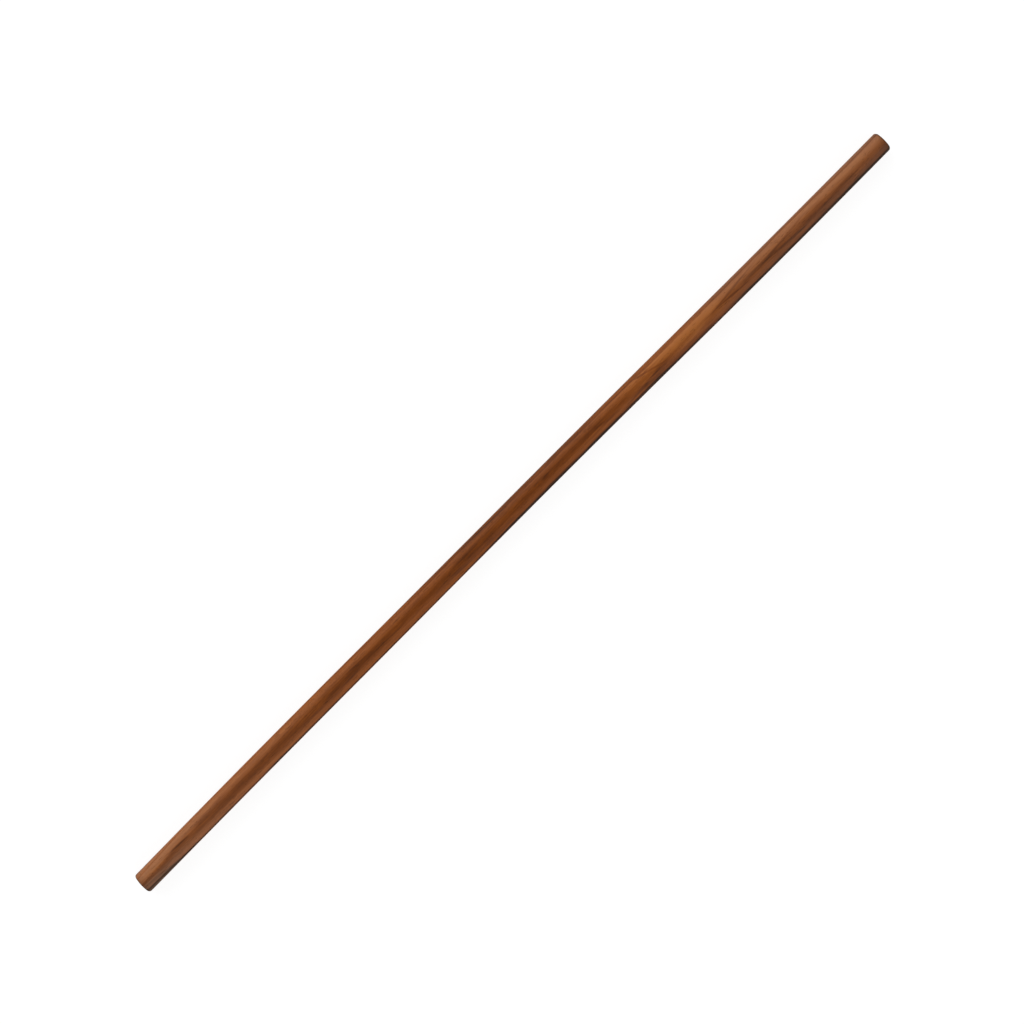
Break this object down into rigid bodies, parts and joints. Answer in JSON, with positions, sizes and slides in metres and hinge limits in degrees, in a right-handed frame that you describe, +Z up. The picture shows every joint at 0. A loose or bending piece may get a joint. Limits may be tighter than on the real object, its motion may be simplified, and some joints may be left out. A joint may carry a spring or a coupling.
{
  "type": "devil stick",
  "caption": "Plain straight round hardwood stick with square ends and eased edges, held in the hand to tap, lift and spin a juggling baton.",
  "frame": {"origin": "middle of the stick, on its axis, which is also its balance point", "axes": "+X along the stick, +Z up with the stick lying on its side, +Y completes the right-handed frame; the two ends are alike"},
  "size_m": [0.475, 0.01, 0.01],
  "materials": {
    "hardwood": "satin oiled walnut-brown hardwood, grain along the length"
  },
  "bodies": {
    "root": {"stick": "hardwood"}
  },
  "joints": []
}
